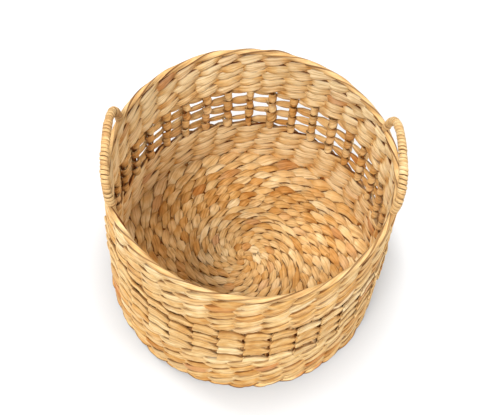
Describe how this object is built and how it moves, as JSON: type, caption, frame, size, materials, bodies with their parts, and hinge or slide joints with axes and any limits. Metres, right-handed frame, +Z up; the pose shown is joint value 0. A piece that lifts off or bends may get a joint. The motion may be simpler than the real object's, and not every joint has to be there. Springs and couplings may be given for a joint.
{
  "type": "woven basket",
  "caption": "Round woven storage basket with an openwork band round the middle, a rolled border and two stiff wrapped bow handles.",
  "frame": {"origin": "middle of the flat foot, on the plane that the basket stands on", "axes": "+Z up through the open top; the two handles stand at +X and -X"},
  "size_m": [0.4094, 0.4086, 0.331],
  "materials": {
    "cane": "dry split cane",
    "strand": "dried flat plant stem, matte with a soft sheen",
    "border": "dried plant stem rolled smooth",
    "cord_wrap": "dried plant fibre cord"
  },
  "bodies": {
    "root": {"stakes_from_centre": "cane", "stakes_added": "cane", "base_centre": "cane", "handle_core_right": "cane", "handle_core_left": "cane", "base_weft_1": "strand", "base_weft_2": "strand", "base_weft_3": "strand", "base_weft_4": "strand", "base_weft_5": "strand", "base_weft_6": "strand", "base_weft_7": "strand", "base_weft_8": "strand", "base_weft_9": "strand", "base_weft_10": "strand", "base_weft_11": "strand", "base_weft_12": "strand", "base_weft_13": "strand", "foot_weft": "strand", "lower_weft_1": "strand", "lower_weft_2": "strand", "lower_weft_3": "strand", "lower_weft_4": "strand", "lower_weft_5": "strand", "upper_weft_1": "strand", "upper_weft_2": "strand", "upper_weft_3": "strand", "upper_weft_4": "strand", "upper_weft_5": "strand", "openwork_weft_1": "strand", "openwork_weft_2": "strand", "openwork_weft_3": "strand", "openwork_weft_4": "strand", "openwork_loops_1": "strand", "openwork_loops_2": "strand", "openwork_loops_3": "strand", "openwork_loops_4": "strand", "rim_border": "border", "handle_wrap_right": "cord_wrap", "handle_wrap_left": "cord_wrap"}
  },
  "joints": []
}
